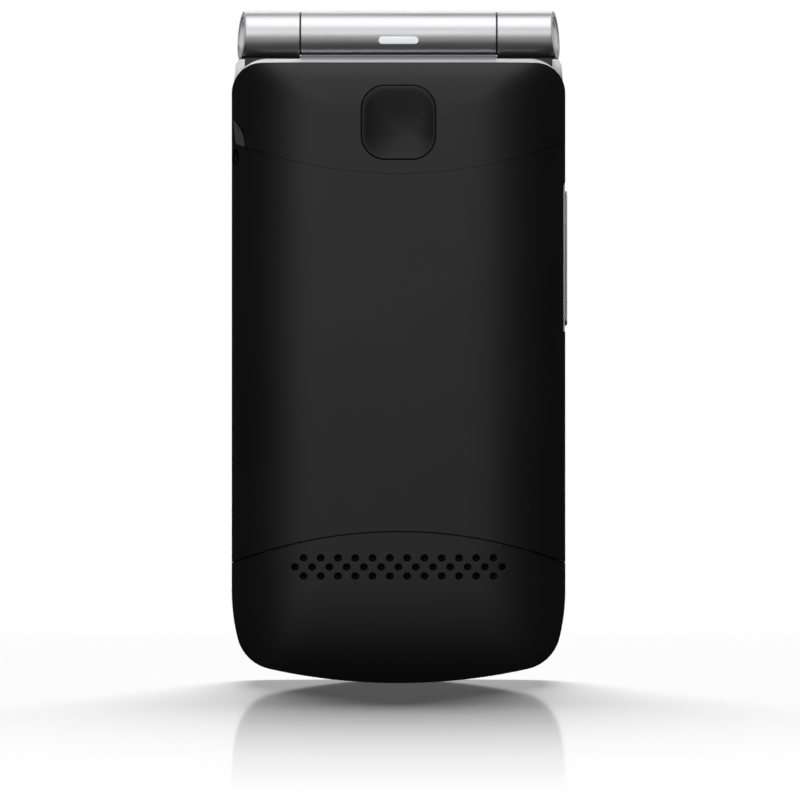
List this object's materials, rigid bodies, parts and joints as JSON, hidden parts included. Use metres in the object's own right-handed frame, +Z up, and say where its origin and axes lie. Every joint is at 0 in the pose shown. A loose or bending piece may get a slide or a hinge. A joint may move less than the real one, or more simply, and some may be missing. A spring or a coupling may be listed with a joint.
{
  "type": "flip phone",
  "caption": "Closed clamshell phone with a crowned black back, a silver barrel hinge, a dished rear button, a loudspeaker grille and a side volume rocker.",
  "frame": {"origin": "under the middle of the closed phone, where its curved foot meets the floor", "axes": "+Z runs up from the foot to the hinge barrel, -Y is the outside of the base with the battery cover and +Y the outside of the lid, +X is the side of the volume key"},
  "size_m": [0.0524, 0.0196, 0.1051],
  "materials": {
    "frame_silver": "metallic satin paint",
    "shell_black": "soft matte",
    "deck_black": "satin",
    "board_green": "satin",
    "dome_film": "translucent film",
    "mesh_steel": "fine weave",
    "speaker_black": "satin",
    "battery_can": "printed film",
    "contact_brass": "gold plated",
    "shield_steel": "satin",
    "switch_black": "satin",
    "antenna_white": "matt",
    "motor_steel": "satin",
    "port_steel": "satin",
    "screw_steel": "black zinc",
    "hinge_steel": "satin",
    "flex_amber": "satin",
    "button_black": "satin",
    "key_silver": "metallic satin paint",
    "key_black": "satin",
    "light_white": "translucent",
    "lamp_white": "satin",
    "window_clear": "polished",
    "display_dark": "polished",
    "window_dark": "polished",
    "magnet_nickel": "plated",
    "bumper_rubber": "matt"
  },
  "bodies": {
    "base": {"base_frame": "frame_silver", "rear_housing": "shell_black", "keypad_housing": "deck_black", "main_board": "board_green", "dome_sheet": "dome_film", "speaker_mesh": "mesh_steel", "loudspeaker": "speaker_black", "battery": "battery_can", "battery_contacts": "contact_brass", "sim_reader": "shield_steel", "card_reader": "shield_steel", "rf_shield": "shield_steel", "sos_switch": "switch_black", "antenna": "antenna_white", "vibration_motor": "motor_steel", "microphone": "motor_steel", "charging_port": "port_steel", "base_screws": "screw_steel", "hinge_shaft": "hinge_steel", "hinge_pivot_tube": "hinge_steel", "hinge_caps": "frame_silver", "flex_roll": "flex_amber"},
    "lid": {"lid_frame": "frame_silver", "lid_outer_cover": "shell_black", "hinge_can": "hinge_steel", "light_guide": "light_white", "indicator_led": "lamp_white", "display_window": "window_clear", "main_display": "display_dark", "lid_board": "board_green", "outer_display": "display_dark", "outer_window": "window_dark", "camera_module": "speaker_black", "camera_lens": "window_dark", "earpiece": "speaker_black", "earpiece_mesh": "mesh_steel", "lid_magnet": "magnet_nickel", "lid_bumpers": "bumper_rubber"},
    "battery_cover": {"battery_cover": "shell_black"},
    "sos_button": {"sos_button": "button_black"},
    "volume_key": {"volume_key": "key_silver"},
    "nav_ring": {"nav_ring": "key_silver"},
    "ok_key": {"ok_key": "key_black"},
    "key_soft_left": {"key_soft_left": "key_black"},
    "key_soft_right": {"key_soft_right": "key_black"},
    "key_call": {"key_call": "key_black"},
    "key_end": {"key_end": "key_black"},
    "key_1": {"key_1": "key_black"},
    "key_2": {"key_2": "key_black"},
    "key_3": {"key_3": "key_black"},
    "key_4": {"key_4": "key_black"},
    "key_5": {"key_5": "key_black"},
    "key_6": {"key_6": "key_black"},
    "key_7": {"key_7": "key_black"},
    "key_8": {"key_8": "key_black"},
    "key_9": {"key_9": "key_black"},
    "key_star": {"key_star": "key_black"},
    "key_0": {"key_0": "key_black"},
    "key_hash": {"key_hash": "key_black"}
  },
  "joints": [
    {"name": "lid_hinge", "type": "hinge", "parent": "base", "child": "lid", "pos_m": [0, 0.00155, 0.10125], "axis": [1, 0, 0], "range_deg": [0, 160]},
    {"name": "battery_cover_release", "type": "slide", "parent": "base", "child": "battery_cover", "axis": [0, -1, 0], "range_m": [0, 0.03]},
    {"name": "sos_button_press", "type": "slide", "parent": "base", "child": "sos_button", "axis": [0, 1, 0], "range_m": [0, 0.0004], "stiffness_N_per_m": 500, "springref_m": -0.001},
    {"name": "volume_key_rock", "type": "hinge", "parent": "base", "child": "volume_key", "pos_m": [0.0243, -0.0002, 0.0663], "axis": [0, 1, 0], "range_deg": [-1.3, 1.3], "stiffness_Nm_per_rad": 0.05},
    {"name": "nav_ring_rock", "type": "hinge", "parent": "base", "child": "nav_ring", "pos_m": [0, -0.0002, 0.076], "axis": [1, 0, 0], "range_deg": [-1.7, 1.7], "stiffness_Nm_per_rad": 0.05},
    {"name": "ok_key_press", "type": "slide", "parent": "base", "child": "ok_key", "axis": [0, -1, 0], "range_m": [0, 0.0003], "stiffness_N_per_m": 500, "springref_m": -0.001},
    {"name": "key_soft_left_press", "type": "slide", "parent": "base", "child": "key_soft_left", "axis": [0, -1, 0], "range_m": [0, 0.0003], "stiffness_N_per_m": 500, "springref_m": -0.001},
    {"name": "key_soft_right_press", "type": "slide", "parent": "base", "child": "key_soft_right", "axis": [0, -1, 0], "range_m": [0, 0.0003], "stiffness_N_per_m": 500, "springref_m": -0.001},
    {"name": "key_call_press", "type": "slide", "parent": "base", "child": "key_call", "axis": [0, -1, 0], "range_m": [0, 0.0003], "stiffness_N_per_m": 500, "springref_m": -0.001},
    {"name": "key_end_press", "type": "slide", "parent": "base", "child": "key_end", "axis": [0, -1, 0], "range_m": [0, 0.0003], "stiffness_N_per_m": 500, "springref_m": -0.001},
    {"name": "key_1_press", "type": "slide", "parent": "base", "child": "key_1", "axis": [0, -1, 0], "range_m": [0, 0.0003], "stiffness_N_per_m": 500, "springref_m": -0.001},
    {"name": "key_2_press", "type": "slide", "parent": "base", "child": "key_2", "axis": [0, -1, 0], "range_m": [0, 0.0003], "stiffness_N_per_m": 500, "springref_m": -0.001},
    {"name": "key_3_press", "type": "slide", "parent": "base", "child": "key_3", "axis": [0, -1, 0], "range_m": [0, 0.0003], "stiffness_N_per_m": 500, "springref_m": -0.001},
    {"name": "key_4_press", "type": "slide", "parent": "base", "child": "key_4", "axis": [0, -1, 0], "range_m": [0, 0.0003], "stiffness_N_per_m": 500, "springref_m": -0.001},
    {"name": "key_5_press", "type": "slide", "parent": "base", "child": "key_5", "axis": [0, -1, 0], "range_m": [0, 0.0003], "stiffness_N_per_m": 500, "springref_m": -0.001},
    {"name": "key_6_press", "type": "slide", "parent": "base", "child": "key_6", "axis": [0, -1, 0], "range_m": [0, 0.0003], "stiffness_N_per_m": 500, "springref_m": -0.001},
    {"name": "key_7_press", "type": "slide", "parent": "base", "child": "key_7", "axis": [0, -1, 0], "range_m": [0, 0.0003], "stiffness_N_per_m": 500, "springref_m": -0.001},
    {"name": "key_8_press", "type": "slide", "parent": "base", "child": "key_8", "axis": [0, -1, 0], "range_m": [0, 0.0003], "stiffness_N_per_m": 500, "springref_m": -0.001},
    {"name": "key_9_press", "type": "slide", "parent": "base", "child": "key_9", "axis": [0, -1, 0], "range_m": [0, 0.0003], "stiffness_N_per_m": 500, "springref_m": -0.001},
    {"name": "key_star_press", "type": "slide", "parent": "base", "child": "key_star", "axis": [0, -1, 0], "range_m": [0, 0.0003], "stiffness_N_per_m": 500, "springref_m": -0.001},
    {"name": "key_0_press", "type": "slide", "parent": "base", "child": "key_0", "axis": [0, -1, 0], "range_m": [0, 0.0003], "stiffness_N_per_m": 500, "springref_m": -0.001},
    {"name": "key_hash_press", "type": "slide", "parent": "base", "child": "key_hash", "axis": [0, -1, 0], "range_m": [0, 0.0003], "stiffness_N_per_m": 500, "springref_m": -0.001}
  ]
}
